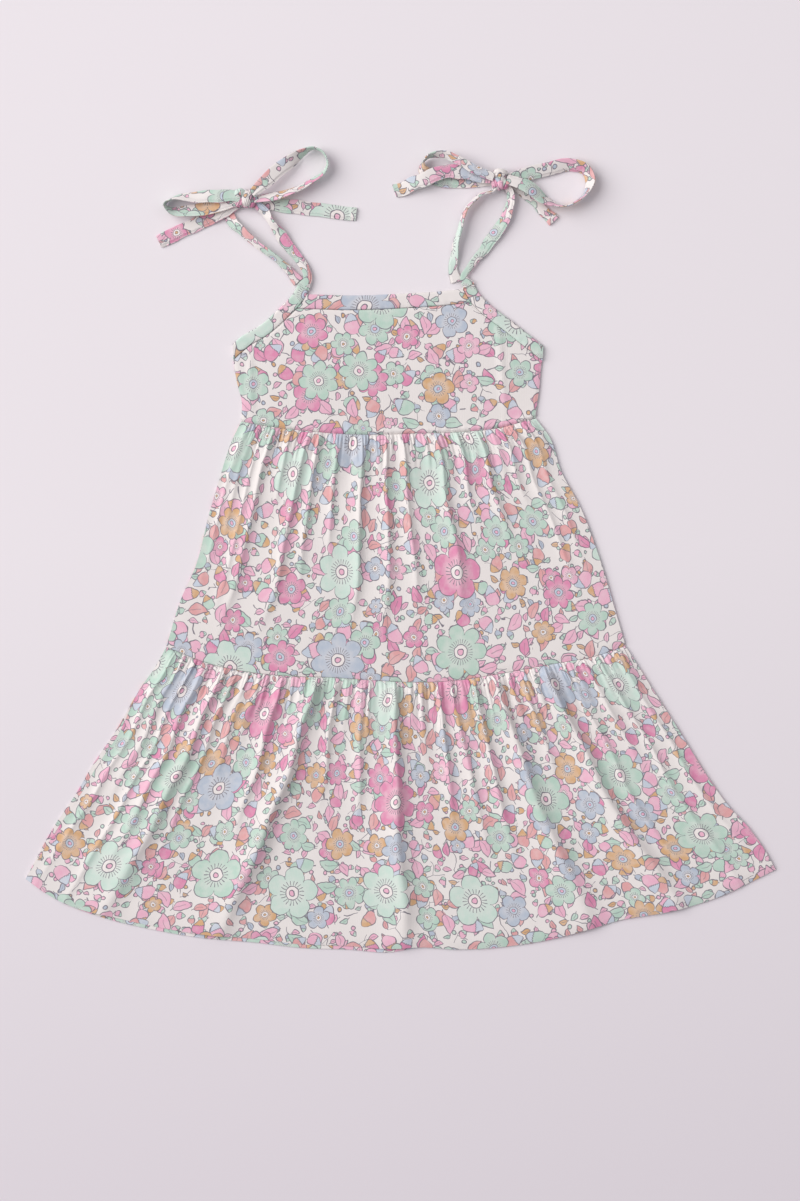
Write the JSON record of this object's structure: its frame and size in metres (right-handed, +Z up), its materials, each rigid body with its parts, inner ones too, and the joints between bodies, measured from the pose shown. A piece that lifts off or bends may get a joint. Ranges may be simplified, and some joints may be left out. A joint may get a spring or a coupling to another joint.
{
  "type": "tiered dress",
  "caption": "Sleeveless tiered sundress for a young child, laid flat, with gathered tiers and shoulder ties knotted in bows; the flat underside rests on a surface.",
  "frame": {"origin": "middle of the dress's bounding box, on the surface that it lies on", "axes": "+Z up out of the surface, +Y from the hem towards the neck, +X to the right as the front is seen from above"},
  "size_m": [0.6524, 0.6989, 0.0131],
  "materials": {
    "printed_jersey": "smooth cotton jersey with a floral print, matt with a soft sheen",
    "binding_jersey": "the same printed jersey, folded into narrow strips"
  },
  "bodies": {
    "root": {"bodice_front": "printed_jersey", "bodice_back": "printed_jersey", "middle_tier_front": "printed_jersey", "middle_tier_back": "printed_jersey", "lower_tier_front": "printed_jersey", "lower_tier_back": "printed_jersey", "neck_binding_front": "binding_jersey", "neck_binding_back": "binding_jersey", "armhole_binding_front_left": "binding_jersey", "armhole_binding_front_right": "binding_jersey", "armhole_binding_back_left": "binding_jersey", "armhole_binding_back_right": "binding_jersey", "front_strand_left": "binding_jersey", "front_strand_right": "binding_jersey", "back_strand_left": "binding_jersey", "back_strand_right": "binding_jersey", "bow_knot_left": "binding_jersey", "bow_knot_right": "binding_jersey", "bow_loop_outer_left": "binding_jersey", "bow_loop_outer_right": "binding_jersey", "bow_loop_inner_left": "binding_jersey", "bow_loop_inner_right": "binding_jersey", "bow_tail_outer_left": "binding_jersey", "bow_tail_outer_right": "binding_jersey", "bow_tail_inner_left": "binding_jersey", "bow_tail_inner_right": "binding_jersey"}
  },
  "joints": []
}
